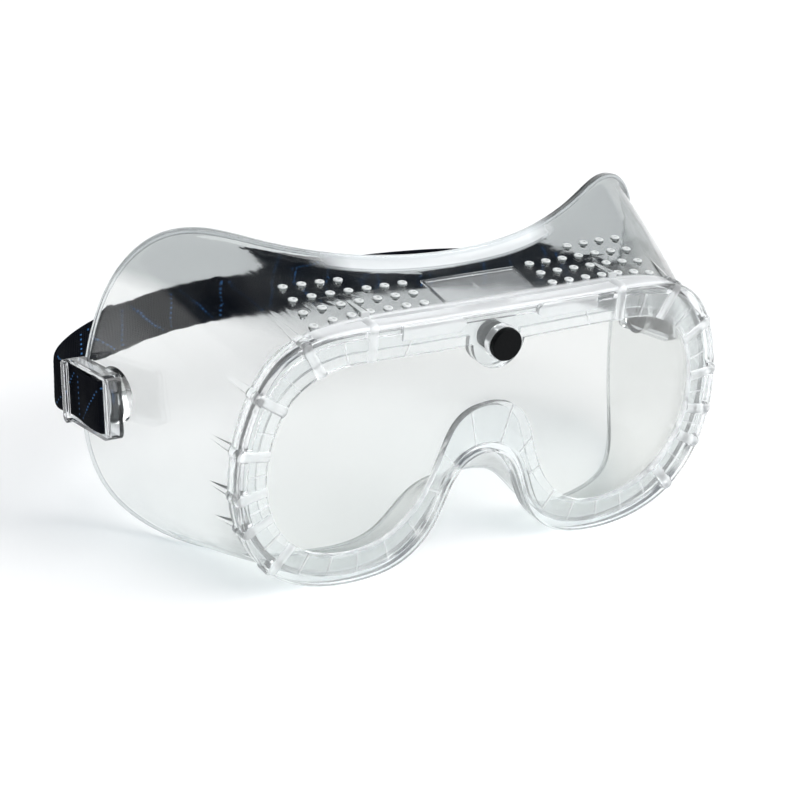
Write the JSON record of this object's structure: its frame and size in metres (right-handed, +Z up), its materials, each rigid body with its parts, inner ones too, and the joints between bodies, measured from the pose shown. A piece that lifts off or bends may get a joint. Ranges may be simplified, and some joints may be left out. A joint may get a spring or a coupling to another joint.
{
  "type": "safety goggles",
  "caption": "Clear direct-vent safety goggles: soft one-piece frame, flat lens locked by a black stud, elastic headband on swivelling buckles.",
  "frame": {"origin": "bottom centre of the whole object's box, on the plane that the bezel's lobes and the cheek edges stand on", "axes": "+X to the wearer's left, +Y from the lens back towards the face, +Z up"},
  "size_m": [0.202, 0.1122, 0.0909],
  "materials": {
    "clear_pvc": "soft clear PVC, glossy",
    "clear_lens": "polished clear polycarbonate",
    "clear_buckle": "glossy clear plastic",
    "black_plastic": "fine matt moulded plastic",
    "woven_elastic": "woven elastic, near black with blue dotted threads"
  },
  "bodies": {
    "goggles": {"frame": "clear_pvc", "lens": "clear_lens", "stud_socket": "black_plastic"},
    "stud": {"lens_stud": "black_plastic"},
    "band": {"buckle_left": "clear_buckle", "buckle_right": "clear_buckle", "headband": "woven_elastic"}
  },
  "joints": [
    {"name": "band_swing", "type": "hinge", "parent": "goggles", "child": "band", "pos_m": [0, 0.0022, 0.04362], "axis": [1, 0, 0], "range_deg": [-35, 60]},
    {"name": "stud_pull", "type": "slide", "parent": "goggles", "child": "stud", "axis": [0, -1, 0], "range_m": [0, 0.0125]}
  ]
}
